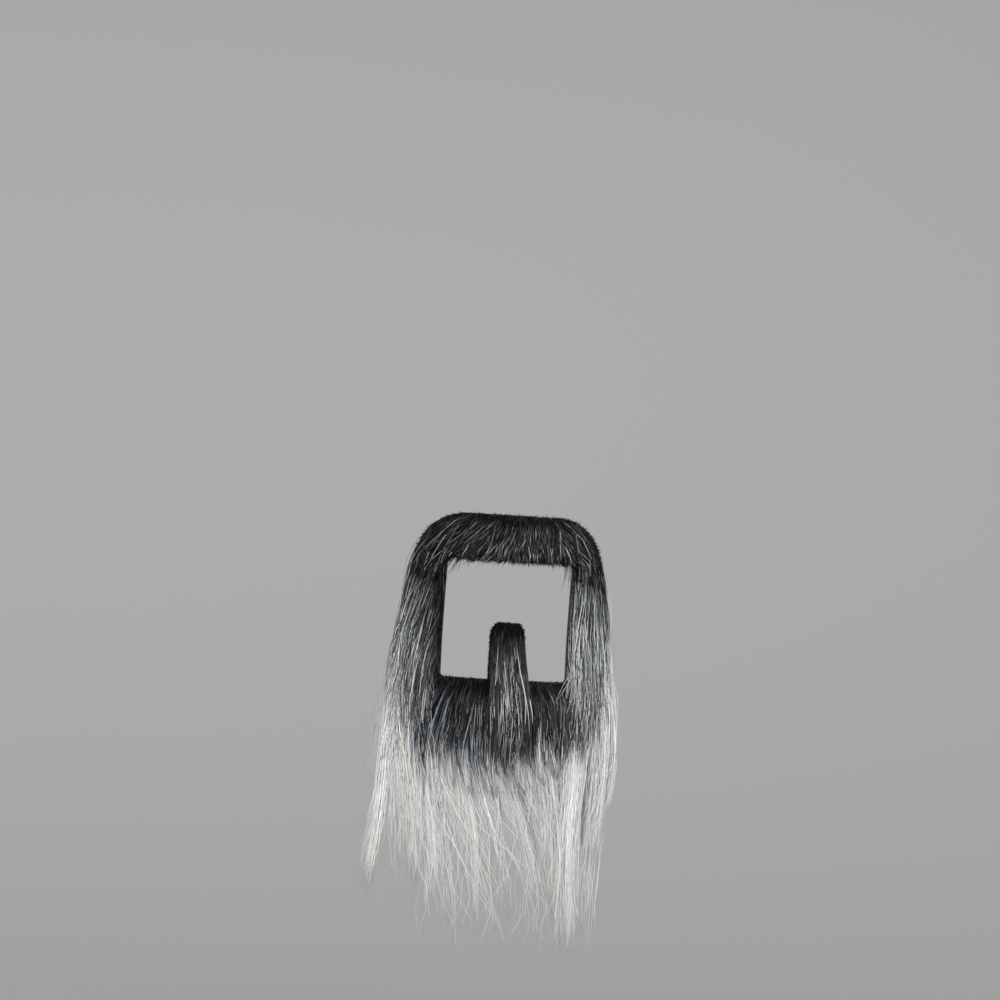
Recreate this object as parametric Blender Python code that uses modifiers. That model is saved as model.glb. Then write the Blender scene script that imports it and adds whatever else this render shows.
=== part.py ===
"""A fake goatee beard and moustache, die-cut from long-pile fake fur, in its worn form.

Metres, +Z up. The front is towards -Y. The origin is on the back of the cloth, in the
middle of the moustache bar.

The cloth backing is a frame round an open window, with a tab that stands up into it. The
fur on it is modelled as sheets of locks: each sheet is one layer of hair that splits into
tapering locks at its free end. Sheets that lie over each other are kept apart by their
lift.
"""

import math
import random
from collections import namedtuple

import bmesh
import bpy

MM = 0.001

# The curved surface that the beard lies on. Depth is how far a point lies behind the origin.
Knot = namedtuple("Knot", "height depth")
FACE_PROFILE = (
    Knot(height=14, depth=1.6),
    Knot(height=4, depth=0.3),
    Knot(height=-8, depth=-0.5),
    Knot(height=-22, depth=1.4),
    Knot(height=-36, depth=2.6),
    Knot(height=-50, depth=1.6),
    Knot(height=-66, depth=2.4),
    Knot(height=-90, depth=4.8),
    Knot(height=-125, depth=7.5),
    Knot(height=-165, depth=9.5),
)
CHEEK_SLOPE = 1.15  # how steeply the surface falls back at the sides
MUZZLE_BEND = 42.0  # how wide the rounded front is before it does
CURL_KEPT = 0.80  # share of that curvature left at the tips, where hair hangs free
CURL_FROM, CURL_TO = -55.0, -150.0

# The cloth backing
CLOTH = 1.2
CLOTH_HALF_WIDTH_TOP, CLOTH_HALF_WIDTH_LOW = 33.0, 35.0
CLOTH_TOP, CLOTH_BOTTOM = 8.0, -68.0
CLOTH_CORNER_TOP, CLOTH_CORNER_LOW = 17.0, 12.0
WINDOW_HALF_WIDTH = 22.5
WINDOW_TOP, WINDOW_BOTTOM = -8.0, -51.0
WINDOW_CORNER = 1.5
TAB_HALF_WIDTH, TAB_TOP = 6.5, -30.5
TAB_ROUNDING = 5.0
CELLS_ACROSS_CLOTH = 4
CLOTH_ROW = 3.6

# The fur
SEAT = 0.35  # gap between sheets that lie on each other
ON_CLOTH = CLOTH + SEAT
RIDGE = (0.30, 1.00, 0.85, 0.30)  # share of the thickness across one lock
UNEVEN = 0.15  # how far a lock's edge may shift, in lock widths
TIP_SHARE = 0.14  # share of the thickness left at a lock's tip

FlowLine = namedtuple("FlowLine", "root_x root_z bend_x bend_z tip_x tip_z")
Lift = namedtuple("Lift", "height lift")
Sheet = namedtuple(
    "Sheet",
    "locks flow lifts thickness root_share fused_rows tip_rows split shorten lean seed",
)

MOUSTACHE = Sheet(
    locks=18,
    flow=(
        FlowLine(0.0, 8.3, 0.6, 0.0, 1.2, -10.2),
        FlowLine(7.5, 8.4, 9.2, 0.0, 10.4, -10.2),
        FlowLine(14.5, 8.1, 18.4, 1.0, 20.6, -9.8),
        FlowLine(20.5, 7.0, 26.0, 1.0, 28.2, -12.0),
        FlowLine(25.0, 4.6, 31.0, 1.0, 33.4, -15.5),
    ),
    lifts=(Lift(8, ON_CLOTH), Lift(-2, ON_CLOTH), Lift(-8, 3.3), Lift(-16, 3.3)),
    thickness=3.4,
    root_share=0.35,
    fused_rows=4,
    tip_rows=3,
    split=0.62,
    shorten=0.16,
    lean=0.3,
    seed=3,
)

SIDE = Sheet(
    locks=7,
    flow=(
        FlowLine(22.4, -9.4, 20.8, -50.0, 32.5, -108.0),
        FlowLine(26.8, -9.8, 27.0, -52.0, 35.2, -120.0),
        FlowLine(30.8, -10.2, 34.0, -54.0, 38.6, -129.0),
        FlowLine(34.0, -10.6, 39.0, -54.0, 41.0, -125.0),
    ),
    lifts=(
        Lift(-9, ON_CLOTH),
        Lift(-34, ON_CLOTH),
        Lift(-58.6, 3.8),
        Lift(-72, 4.6),
        Lift(-90, 4.8),
        Lift(-130, 4.6),
    ),
    thickness=4.4,
    root_share=0.24,
    fused_rows=9,
    tip_rows=5,
    split=0.66,
    shorten=0.20,
    lean=0.35,
    seed=11,
)

CHIN = Sheet(
    locks=13,
    flow=(
        FlowLine(0.0, -51.9, 0.0, -66.0, 0.0, -84.0),
        FlowLine(12.0, -51.7, 12.4, -66.0, 14.4, -85.0),
        FlowLine(23.6, -51.3, 23.8, -65.0, 27.4, -83.0),
    ),
    lifts=(
        Lift(-51, ON_CLOTH),
        Lift(-58.6, 3.8),
        Lift(-70, 4.5),
        Lift(-86, 4.8),
    ),
    thickness=3.6,
    root_share=0.35,
    fused_rows=5,
    tip_rows=3,
    split=0.66,
    shorten=0.20,
    lean=0.3,
    seed=5,
)

FRINGE = Sheet(
    locks=15,
    flow=(
        FlowLine(0.0, -59.6, 0.0, -100.0, 0.5, -148.0),
        FlowLine(15.0, -59.4, 18.0, -98.0, 16.0, -150.0),
        FlowLine(31.5, -58.6, 40.0, -94.0, 31.0, -138.0),
    ),
    lifts=(Lift(-58, ON_CLOTH), Lift(-155, ON_CLOTH)),
    thickness=2.7,
    root_share=0.55,
    fused_rows=6,
    tip_rows=6,
    split=0.50,
    shorten=0.34,
    lean=0.35,
    seed=7,
)

SOUL_PATCH = Sheet(
    locks=4,
    flow=(
        FlowLine(0.0, -30.9, 0.0, -54.0, 0.4, -88.0),
        FlowLine(6.2, -31.9, 6.4, -54.0, 7.4, -84.0),
    ),
    lifts=(
        Lift(-30, ON_CLOTH),
        Lift(-38, ON_CLOTH),
        Lift(-50, 3.8),
        Lift(-54, 5.7),
        Lift(-58.5, 7.7),
        Lift(-66, 8.6),
        Lift(-88, 9.1),
    ),
    thickness=2.8,
    root_share=0.4,
    fused_rows=9,
    tip_rows=4,
    split=0.72,
    shorten=0.16,
    lean=0.3,
    seed=2,
)


def smooth_through(places, values, at):
    """The value at a place, on a smooth curve through values given at rising places."""
    last = len(places) - 1
    at = min(max(at, places[0]), places[last])
    i = max(k for k in range(last) if places[k] <= at)
    span = places[i + 1] - places[i]
    t = (at - places[i]) / span

    def slope(k):
        low, high = max(k - 1, 0), min(k + 1, last)
        return (values[high] - values[low]) / (places[high] - places[low]) * span

    bend = 2 * t**3 - 3 * t**2
    return (
        values[i] * (1 + bend)
        - values[i + 1] * bend
        + slope(i) * (t**3 - 2 * t**2 + t)
        + slope(i + 1) * (t**3 - t**2)
    )


def straight_through(places, values, at):
    """The value at a place, on straight runs between values given at rising places."""
    at = min(max(at, places[0]), places[-1])
    i = max(k for k in range(len(places) - 1) if places[k] <= at)
    t = (at - places[i]) / (places[i + 1] - places[i])
    return values[i] + (values[i + 1] - values[i]) * t


def profile_depth(z):
    rows = FACE_PROFILE[::-1]
    return smooth_through([r.height for r in rows], [r.depth for r in rows], z)


def face_depth(x, z):
    """How far the worn surface lies behind the origin at this place, in millimetres."""
    loosened = min(max((CURL_FROM - z) / (CURL_FROM - CURL_TO), 0.0), 1.0)
    curl = 1.0 - (1.0 - CURL_KEPT) * loosened
    return profile_depth(z) + curl * (math.hypot(MUZZLE_BEND, CHEEK_SLOPE * x) - MUZZLE_BEND)


def on_face(x, z, lift):
    """The point in metres that stands this far out from the worn surface."""
    step = 0.5
    across = (face_depth(x + step, z) - face_depth(x - step, z)) / (2 * step)
    along = (face_depth(x, z + step) - face_depth(x, z - step)) / (2 * step)
    reach = lift / math.sqrt(across**2 + along**2 + 1.0)
    point = (x + across * reach, face_depth(x, z) - reach, z + along * reach)
    return tuple(c * MM for c in point)


def lift_at(lifts, z):
    rows = lifts[::-1]
    return straight_through([r.height for r in rows], [r.lift for r in rows], z)


def mirrored(flow):
    """The flow lines of the other side, still in order from -X to +X."""
    return tuple(
        FlowLine(-f.root_x, f.root_z, -f.bend_x, f.bend_z, -f.tip_x, f.tip_z)
        for f in reversed(flow)
    )


def both_sides(sheet):
    """A sheet whose flow is given from the middle outwards, made whole."""
    return sheet._replace(flow=mirrored(sheet.flow)[:-1] + sheet.flow)


def flow_point(flow, across, along):
    """Where a hair lies: across the sheet from 0 to 1, and along it from root to tip."""
    places = [k / (len(flow) - 1) for k in range(len(flow))]
    line = FlowLine(*(smooth_through(places, column, across) for column in zip(*flow)))
    root, bend, tip = (1 - along) ** 2, 2 * along * (1 - along), along**2
    return (
        root * line.root_x + bend * line.bend_x + tip * line.tip_x,
        root * line.root_z + bend * line.bend_z + tip * line.tip_z,
    )


def new_object(name, mesh, material):
    obj = bpy.data.objects.new(name, mesh)
    mesh.materials.append(material)
    mesh.shade_smooth()
    parts.objects.link(obj)
    return obj


def thicken(obj, thickness, group=""):
    """Gives an open surface its thickness, all of it on the outer side."""
    shell = obj.modifiers.new("thickness", "SOLIDIFY")
    shell.thickness = thickness * MM
    shell.offset = 1.0
    shell.vertex_group = group
    shell.thickness_vertex_group = 0.0


def material(name, colour, roughness):
    made = bpy.data.materials.new(name)
    made.use_nodes = True
    shader = made.node_tree.nodes["Principled BSDF"]
    shader.inputs["Base Color"].default_value = (*colour, 1.0)
    shader.inputs["Roughness"].default_value = roughness
    shader.inputs["Metallic"].default_value = 0.0
    return made


def half_frame(half_width_top, half_width_low, top, bottom, corner_top, corner_low, tab):
    """Points of a rounded frame's right half, from the middle of the top to the middle of the
    bottom. Every frame gets the same number of points, so that two frames can be joined."""
    edge_steps, corner_steps, side_steps = 7, 5, 12
    points = []
    flat_top = half_width_top - corner_top
    flat_low = half_width_low - corner_low
    points += [(flat_top * k / edge_steps, top) for k in range(edge_steps)]
    for k in range(corner_steps):
        turn = math.radians(90 - 90 * k / corner_steps)
        across, up = corner_top * math.cos(turn), corner_top * math.sin(turn)
        points.append((flat_top + across, top - corner_top + up))
    for k in range(side_steps):
        share = k / side_steps
        start, end = top - corner_top, bottom + corner_low
        width = half_width_top + (half_width_low - half_width_top) * share
        points.append((width, start + (end - start) * share))
    for k in range(corner_steps):
        turn = math.radians(90 * k / corner_steps)
        across, down = corner_low * math.cos(turn), corner_low * math.sin(turn)
        points.append((flat_low + across, bottom + corner_low - down))
    beside_tab = edge_steps - TAB_CELLS
    points += [
        (flat_low + (tab - flat_low) * k / beside_tab, bottom) for k in range(beside_tab)
    ]
    points += [(tab * (1 - k / TAB_CELLS), bottom) for k in range(TAB_CELLS + 1)]
    return points


TAB_CELLS = 2


def make_backing(cloth):
    """The die-cut cloth: a frame round the window, and the tab that stands up into it."""
    window = half_frame(
        WINDOW_HALF_WIDTH,
        WINDOW_HALF_WIDTH,
        WINDOW_TOP,
        WINDOW_BOTTOM,
        WINDOW_CORNER,
        WINDOW_CORNER,
        TAB_HALF_WIDTH,
    )
    outline = half_frame(
        CLOTH_HALF_WIDTH_TOP,
        CLOTH_HALF_WIDTH_LOW,
        CLOTH_TOP,
        CLOTH_BOTTOM,
        CLOTH_CORNER_TOP,
        CLOTH_CORNER_LOW,
        TAB_HALF_WIDTH,
    )
    bm = bmesh.new()
    rows = []
    for inner, outer in zip(window, outline):
        shares = [k / CELLS_ACROSS_CLOTH for k in range(CELLS_ACROSS_CLOTH + 1)]
        places = [[a + (b - a) * s for a, b in zip(inner, outer)] for s in shares]
        rows.append([bm.verts.new(on_face(x, z, 0.0)) for x, z in places])
    for above, below in zip(rows, rows[1:]):
        for k in range(CELLS_ACROSS_CLOTH):
            bm.faces.new((above[k], above[k + 1], below[k + 1], below[k]))

    base = [row[0] for row in rows[-1 - TAB_CELLS :]]
    height = TAB_TOP - WINDOW_BOTTOM
    tab_rows = round(height / CLOTH_ROW)
    for j in range(1, tab_rows + 1):
        up = height * j / tab_rows
        rounding = max(0.0, (up - (height - TAB_ROUNDING)) / TAB_ROUNDING)
        width = TAB_HALF_WIDTH * (1.0 - 0.35 * rounding**2)
        spots = [(width * (1 - k / TAB_CELLS), WINDOW_BOTTOM + up) for k in range(TAB_CELLS + 1)]
        row = [bm.verts.new(on_face(x, z, 0.0)) for x, z in spots]
        for k in range(TAB_CELLS):
            bm.faces.new((base[k], base[k + 1], row[k + 1], row[k]))
        base = row
    bmesh.ops.recalc_face_normals(bm, faces=bm.faces)
    if bm.faces[:][0].normal.y > 0:
        bmesh.ops.reverse_faces(bm, faces=bm.faces)
    mesh = bpy.data.meshes.new("backing")
    bm.to_mesh(mesh)
    bm.free()
    obj = new_object("backing", mesh, cloth)
    mirror = obj.modifiers.new("other half", "MIRROR")
    mirror.merge_threshold = 0.0001
    thicken(obj, CLOTH)
    return obj


def make_sheet(name, sheet, hair):
    """One sheet of hair: locks joined side by side near the root and tapering apart."""
    rng = random.Random(sheet.seed)
    cells = len(RIDGE) - 1
    shifts = [rng.uniform(-UNEVEN, UNEVEN) for _ in range(sheet.locks - 1)]
    edges = [(k + shift) / sheet.locks for k, shift in enumerate([0.0, *shifts, 0.0])]
    bm = bmesh.new()
    weights = bm.verts.layers.deform.verify()

    def vertex(across, along, lean, share):
        free = max(0.0, (along - sheet.split) / (1.0 - sheet.split))
        x, z = flow_point(sheet.flow, across + lean * free**2, along)
        made = bm.verts.new(on_face(x, z, lift_at(sheet.lifts, z)))
        made[weights][0] = share
        return made

    def swell(along):
        """Hair lies thin at its root and is full from a third of its length on."""
        grown = min(along / 0.3, 1.0)
        return sheet.root_share + (1.0 - sheet.root_share) * math.sin(grown * math.pi / 2)

    fused = []
    for j in range(sheet.fused_rows + 1):
        along = sheet.split * j / sheet.fused_rows
        row = []
        for start, end in zip(edges, edges[1:]):
            for k in range(cells):
                across = start + (end - start) * k / cells
                row.append(vertex(across, along, 0.0, RIDGE[k] * swell(along)))
        row.append(vertex(1.0, along, 0.0, RIDGE[-1] * swell(along)))
        for k in range(len(row) - 1 if fused else 0):
            bm.faces.new((fused[k], row[k], row[k + 1], fused[k + 1]))
        fused = row

    for lock in range(sheet.locks):
        end = 1.0 - sheet.shorten * rng.random()
        lean = sheet.lean * rng.uniform(-1.0, 1.0) / sheet.locks
        middle = (edges[lock] + edges[lock + 1]) / 2
        full_width = edges[lock + 1] - edges[lock]
        above = fused[lock * cells : (lock + 1) * cells + 1]
        for j in range(1, sheet.tip_rows):
            share = j / sheet.tip_rows
            along = sheet.split + (end - sheet.split) * share
            width = full_width * (1.0 - share**1.4)
            fade = TIP_SHARE + (1.0 - TIP_SHARE) * (1.0 - share)
            row = [
                vertex(middle + width * (k / cells - 0.5), along, lean, ridge * fade)
                for k, ridge in enumerate(RIDGE)
            ]
            for k in range(cells):
                bm.faces.new((above[k], row[k], row[k + 1], above[k + 1]))
            above = row
        tip = vertex(middle, end, lean, TIP_SHARE)
        for k in range(cells):
            bm.faces.new((above[k], tip, above[k + 1]))

    mesh = bpy.data.meshes.new(name)
    bm.to_mesh(mesh)
    bm.free()
    obj = new_object(name, mesh, hair)
    obj.vertex_groups.new(name="body")
    thicken(obj, sheet.thickness, "body")
    return obj


for old in list(bpy.data.objects):
    bpy.data.objects.remove(old)
parts = bpy.data.collections.new("fake_beard")
bpy.context.scene.collection.children.link(parts)

cloth_black = material("backing_cloth", (0.020, 0.020, 0.022), 0.9)
hair_black = material("black_hair", (0.035, 0.035, 0.038), 0.5)
hair_grey = material("grey_hair", (0.160, 0.170, 0.180), 0.45)
hair_white = material("white_hair", (0.620, 0.600, 0.580), 0.45)

make_backing(cloth_black)
make_sheet("moustache", both_sides(MOUSTACHE), hair_black)
make_sheet("side_hair_left", SIDE, hair_grey)
make_sheet("side_hair_right", SIDE._replace(flow=mirrored(SIDE.flow), seed=12), hair_grey)
make_sheet("chin_hair", both_sides(CHIN), hair_black)
make_sheet("chin_fringe", both_sides(FRINGE), hair_white)
make_sheet("soul_patch", both_sides(SOUL_PATCH), hair_black)
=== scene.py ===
"""The fake beard, dressed: every fibre of its fur, and the knitted cloth that they grow from."""

import math
from collections import namedtuple

import bpy
import numpy as np
from mathutils import Matrix, Vector


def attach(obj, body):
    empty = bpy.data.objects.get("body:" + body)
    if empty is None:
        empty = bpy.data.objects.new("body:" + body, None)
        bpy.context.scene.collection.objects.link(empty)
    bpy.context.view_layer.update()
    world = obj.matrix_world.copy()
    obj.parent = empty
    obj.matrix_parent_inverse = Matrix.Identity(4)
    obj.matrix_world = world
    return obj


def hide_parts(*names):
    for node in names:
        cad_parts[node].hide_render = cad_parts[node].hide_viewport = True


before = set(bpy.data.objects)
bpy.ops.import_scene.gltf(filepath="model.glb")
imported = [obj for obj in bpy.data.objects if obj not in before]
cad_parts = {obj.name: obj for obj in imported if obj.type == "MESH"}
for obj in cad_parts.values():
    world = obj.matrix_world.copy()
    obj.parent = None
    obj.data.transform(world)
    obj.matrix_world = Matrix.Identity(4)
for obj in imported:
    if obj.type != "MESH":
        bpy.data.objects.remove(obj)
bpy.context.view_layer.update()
rng = np.random.default_rng(41)

MM = 0.001


def add_object(name, data):
    made = bpy.data.objects.new(name, data)
    bpy.context.scene.collection.objects.link(made)
    return made


# The curved surface that the beard lies on, the same as in the part's source
# Heights, depths and widths are in millimetres.

# Height and depth down the middle
WORN_PROFILE = (
    (14, 1.6), (4, 0.3), (-8, -0.5), (-22, 1.4), (-36, 2.6), (-50, 1.6), (-66, 2.4),
    (-90, 4.8), (-125, 7.5), (-165, 9.5),
)
SIDE_SLOPE = 1.15  # how steeply the surface falls back at the sides
FRONT_BEND = 42.0  # how wide the rounded front is before it does
CURL_KEPT = 0.80  # the share of that curl that is left at CURL_TO
CURL_FROM, CURL_TO = -55.0, -150.0  # the heights between which it loosens
NORMAL_STEP = 0.5  # how far apart the surface is measured for its slope, each way


def smooth_through(places, values, at):
    """Values at places, on a smooth curve through values given at rising places."""
    places, values = np.asarray(places, float), np.asarray(values, float)
    last = len(places) - 1
    at = np.clip(at, places[0], places[last])
    i = np.clip(np.searchsorted(places, at, side="right") - 1, 0, last - 1)
    low, high = np.maximum(np.arange(last + 1) - 1, 0), np.minimum(np.arange(last + 1) + 1, last)
    slopes = (values[high] - values[low]) / (places[high] - places[low])
    span = places[i + 1] - places[i]
    t = (at - places[i]) / span
    bend = 2 * t**3 - 3 * t**2
    return (
        values[i] * (1 + bend)
        - values[i + 1] * bend
        + slopes[i] * span * (t**3 - 2 * t**2 + t)
        + slopes[i + 1] * span * (t**3 - t**2)
    )


def worn_depth(x, z):
    """How far the worn surface lies behind the origin, in millimetres."""
    middle = smooth_through(*np.transpose(WORN_PROFILE[::-1]), z)
    loosened = np.clip((CURL_FROM - z) / (CURL_FROM - CURL_TO), 0.0, 1.0)
    curl = 1.0 - (1.0 - CURL_KEPT) * loosened
    return middle + curl * (np.hypot(FRONT_BEND, SIDE_SLOPE * x) - FRONT_BEND)


def surface_at(x, z, lift):
    """Points this far out from the worn surface, and the surface's outward normals there."""
    step = NORMAL_STEP
    across = (worn_depth(x + step, z) - worn_depth(x - step, z)) / (2 * step)
    along = (worn_depth(x, z + step) - worn_depth(x, z - step)) / (2 * step)
    normal = np.stack([across, -np.ones_like(across), along], -1)
    normal /= np.linalg.norm(normal, axis=-1, keepdims=True)
    point = np.stack([x, worn_depth(x, z), z], -1) + normal * lift[..., None]
    return point, normal


def beneath(x, z, lift):
    """Where on the worn surface a point lies whose place across, once lifted, is x."""
    foot = np.array(x, float)
    for _ in range(3):
        _, normal = surface_at(foot, z + 0 * foot, lift + 0 * foot)
        foot = x - lift * normal[..., 0]
    return foot


def ease(low, high, at):
    """A smooth rise from 0 at low to 1 at high."""
    t = np.clip((at - low) / (high - low), 0.0, 1.0)
    return t * t * (3.0 - 2.0 * t)


def blend(first, second, share):
    return first * (1 - share) + second * share


def by_height(rows, z):
    """Straight runs between (height, value) rows given from the top down."""
    return np.interp(z, *np.transpose(rows[::-1]))


def by_place(rows, x):
    """Straight runs between (place across, value) rows given from -X to +X."""
    return np.interp(x, *np.transpose(rows))


# The outline of the die-cut cloth: a frame round a window, and a tab that stands up into it

CLOTH_HALF_WIDTH_TOP, CLOTH_HALF_WIDTH_LOW = 33.0, 35.0
CLOTH_TOP, CLOTH_BOTTOM = 8.0, -68.0
CLOTH_CORNER_TOP, CLOTH_CORNER_LOW = 17.0, 12.0
WINDOW_HALF_WIDTH = 22.5
WINDOW_TOP, WINDOW_BOTTOM = -8.0, -51.0
WINDOW_CORNER = 1.5
TAB_HALF_WIDTH, TAB_TOP = 6.1, -30.5
TAB_ROUNDING, TAB_TAPER = 5.0, 0.35  # how far down its top is rounded, and by what share

# How many cells the mesh has along each run of the outline's right half
TOP_CELLS, CORNER_CELLS, SIDE_CELLS, LOW_CELLS, TAB_CELLS = 24, 20, 52, 18, 8


def on_cloth(x, z):
    """Whether places lie inside the cloth's outer edge."""
    x = np.abs(x)
    share = np.clip((CLOTH_TOP - z) / (CLOTH_TOP - CLOTH_BOTTOM), 0, 1)
    width = CLOTH_HALF_WIDTH_TOP + (CLOTH_HALF_WIDTH_LOW - CLOTH_HALF_WIDTH_TOP) * share
    inside = (x < width) & (z < CLOTH_TOP) & (z > CLOTH_BOTTOM)
    for half, edge, radius, sign in (
        (CLOTH_HALF_WIDTH_TOP, CLOTH_TOP, CLOTH_CORNER_TOP, 1),
        (CLOTH_HALF_WIDTH_LOW, CLOTH_BOTTOM, CLOTH_CORNER_LOW, -1),
    ):
        out_x, out_z = x - (half - radius), sign * (z - edge) + radius
        corner = (out_x > 0) & (out_z > 0)
        inside &= ~corner | (np.hypot(out_x, out_z) < radius)
    return inside


def straight(start, end, cells):
    """Points from start towards end, which is left out."""
    return [tuple(a + (b - a) * k / cells for a, b in zip(start, end)) for k in range(cells)]


def corner(x, z, radius, start):
    """Points round a quarter circle, clockwise from this angle."""
    turns = [math.radians(start - 90 * k / CORNER_CELLS) for k in range(CORNER_CELLS)]
    return [(x + radius * math.cos(turn), z + radius * math.sin(turn)) for turn in turns]


def frame_points(half_top, half_low, top, bottom, corner_top, corner_low):
    """Points of a rounded frame's right half, from the middle of the top to that of the bottom."""
    flat_top, flat_low, tab = half_top - corner_top, half_low - corner_low, TAB_HALF_WIDTH
    start, end = top - corner_top, bottom + corner_low
    points = straight((0.0, top), (flat_top, top), TOP_CELLS)
    points += corner(flat_top, start, corner_top, 90)
    points += straight((half_top, start), (half_low, end), SIDE_CELLS)
    points += corner(flat_low, end, corner_low, 0)
    points += straight((flat_low, bottom), (tab, bottom), LOW_CELLS)
    return points + [(tab * (1 - k / TAB_CELLS), bottom) for k in range(TAB_CELLS + 1)]


def outer_points():
    """The cloth's outer edge, right half."""
    halves = CLOTH_HALF_WIDTH_TOP, CLOTH_HALF_WIDTH_LOW
    return frame_points(*halves, CLOTH_TOP, CLOTH_BOTTOM, CLOTH_CORNER_TOP, CLOTH_CORNER_LOW)


def window_points():
    """The window's edge, right half."""
    half, corner = WINDOW_HALF_WIDTH, WINDOW_CORNER
    return frame_points(half, half, WINDOW_TOP, WINDOW_BOTTOM, corner, corner)


def tab_half(up):
    """The tab's half width, this far above the window's lower edge."""
    rounding = np.clip((up - (TAB_TOP - WINDOW_BOTTOM - TAB_ROUNDING)) / TAB_ROUNDING, 0, 1)
    return TAB_HALF_WIDTH * (1.0 - TAB_TAPER * rounding**2)


def tab_points():
    """The tab's edge, right half, from its foot to the middle of its top."""
    rungs, steps = 24, 6
    ups = np.linspace(0, TAB_TOP - WINDOW_BOTTOM, rungs)
    points = [(float(tab_half(up)), WINDOW_BOTTOM + up) for up in ups]
    half = points[-1][0]
    return points + [(half * (1 - k / steps), TAB_TOP) for k in range(1, steps + 1)]


def covered(x, z):
    """Whether there is cloth at these places."""
    x = np.abs(x)
    window = (x < WINDOW_HALF_WIDTH) & (z < WINDOW_TOP) & (z > WINDOW_BOTTOM)
    tab = (x < tab_half(z - WINDOW_BOTTOM)) & (z < TAB_TOP)
    return on_cloth(x, z) & (~window | tab)


Plot = namedtuple("Plot", "grows left right bottom top")


def scatter(count, plot):
    """Even random places in a plot: a box, cut to where its fur grows."""
    x, z = np.empty(0), np.empty(0)
    while len(x) < count:
        more_x = rng.uniform(plot.left, plot.right, count)
        more_z = rng.uniform(plot.bottom, plot.top, count)
        kept = plot.grows(more_x, more_z)
        x, z = np.append(x, more_x[kept]), np.append(z, more_z[kept])
    return x[:count], z[:count]


# How the fur lies
# Angles are in degrees from straight down, positive towards +X.

# Height, and how far the fur reaches at +X and at -X
FUR_EDGE = (
    (9.0, 15.0, 18.0), (7.5, 19.5, 22.0), (3.6, 26.3, 27.2), (0.0, 29.5, 29.8),
    (-5.0, 32.2, 32.7), (-10.0, 34.1, 34.6), (-20.0, 36.7, 36.3), (-34.0, 39.7, 38.6),
    (-47.0, 42.3, 40.4), (-60.0, 43.6, 41.4), (-75.0, 44.9, 41.6), (-87.0, 44.6, 41.8),
    (-98.0, 42.6, 42.4), (-112.0, 40.4, 44.6), (-125.0, 39.4, 47.5), (-160.0, 39.0, 50.0),
)
MOUSTACHE_LEAN = (
    (-27, -40), (-20, -43), (-12, -33), (-6, -17), (0, -4), (6, 3), (12, 8), (18, 20),
    (24, 34), (30, 36),
)
RIGHT_INNER_LEAN = ((-5, 12), (-15, 8), (-40, 6), (-60, 4), (-90, 0), (-130, 0))
LEFT_INNER_LEAN = ((-5, 3), (-15, 0), (-40, 0), (-60, 1), (-90, 0), (-130, 0))
CHIN_FAN, CHIN_REACH = 8.0, 22.0  # the lean on the cloth, this far out
TAB_LEAN, TAB_REACH = 2.4, 6.0  # the tab's lean, and how far out it leans one degree more
EDGE_PILE, LOWER_PILE = 1.3, 1.6  # how thick the pile is at its edge, and how much more lower down
STEEPEST_EDGE = 38.0
CORNER_TURN = 0.75  # how far the moustache turns to the sides at its lower corners
HANGING_LEAN = (
    (-42, -4), (-34, 4), (-26, 12), (-10, 14), (10, 15), (18, 14), (24, 6), (34, 3),
    (40, -8),
)


def fur_edge(x, z):
    """How far the fur reaches at this height, on the side that x is on."""
    heights, left, right = np.transpose(FUR_EDGE[::-1])
    reach = np.where(x < 0, np.interp(z, heights, right), np.interp(z, heights, left))
    lift = by_height(SIDE_LIFT, z) + EDGE_PILE + LOWER_PILE * ease(35.0, 70.0, -z)
    return beneath(reach, z, lift)


def edge_lean(x, z):
    """How far the fur's edge leans outwards at this height."""
    step = 3.0
    grown = fur_edge(x, z - step) - fur_edge(x, z + step)
    return np.minimum(np.degrees(np.arctan(grown / (2 * step))), STEEPEST_EDGE)


def moustache_flow(x, z):
    """A fan from the middle, which turns to follow the edge on its way to the sides."""
    lean = by_place(MOUSTACHE_LEAN, x)
    near = ease(-8.0, -1.0, np.abs(x) - fur_edge(x, z))
    lower = ease(5.0, 13.0, -z) * ease(17.0, 25.0, np.abs(x))
    turned = np.maximum(near, CORNER_TURN * lower)
    return blend(lean, np.sign(x) * edge_lean(x, z), turned)


def side_flow(x, z):
    """From the window's edge to the fur's own edge."""
    out = (np.abs(x) - WINDOW_HALF_WIDTH) / (fur_edge(x, z) - WINDOW_HALF_WIDTH)
    near = ease(0.0, 1.0, out)
    inner_lean = np.where(x < 0, by_height(RIGHT_INNER_LEAN, z), by_height(LEFT_INNER_LEAN, z))
    return np.sign(x) * blend(inner_lean, edge_lean(x, z), near)


def chin_flow(x, z):
    """A slight fan on the cloth, then the lean of the hanging hair, which ends steeper."""
    hanging = by_place(HANGING_LEAN, x)
    free = ease(70.0, 86.0, -z)
    tiring = 1.0 - 0.45 * ease(108.0, 140.0, -z)
    return CHIN_FAN * x / CHIN_REACH * (1 - free) + hanging * free * tiring


def tab_flow(x, z):
    return TAB_LEAN + x / TAB_REACH


# How far each sheet of fur lies off the worn surface, by height, from the part's source
MOUSTACHE_LIFT = ((8, 1.3), (-2, 1.4), (-9, 2.0), (-18, 1.9))
SIDE_LIFT = ((4, 1.2), (-9, 1.3), (-34, 1.5), (-58.6, 3.8), (-72, 4.6), (-90, 4.8), (-130, 4.6))
CHIN_LIFT = ((-51, 1.3), (-58.6, 3.8), (-70, 4.5), (-86, 4.8), (-120, 4.8))
FRINGE_LIFT = ((-58, 1.4), (-155, 1.5))
TAB_LIFT = ((-30, 1.3), (-38, 1.4), (-50, 3.6), (-54, 5.6), (-58.5, 7.6), (-66, 8.3), (-88, 7.8))

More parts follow.
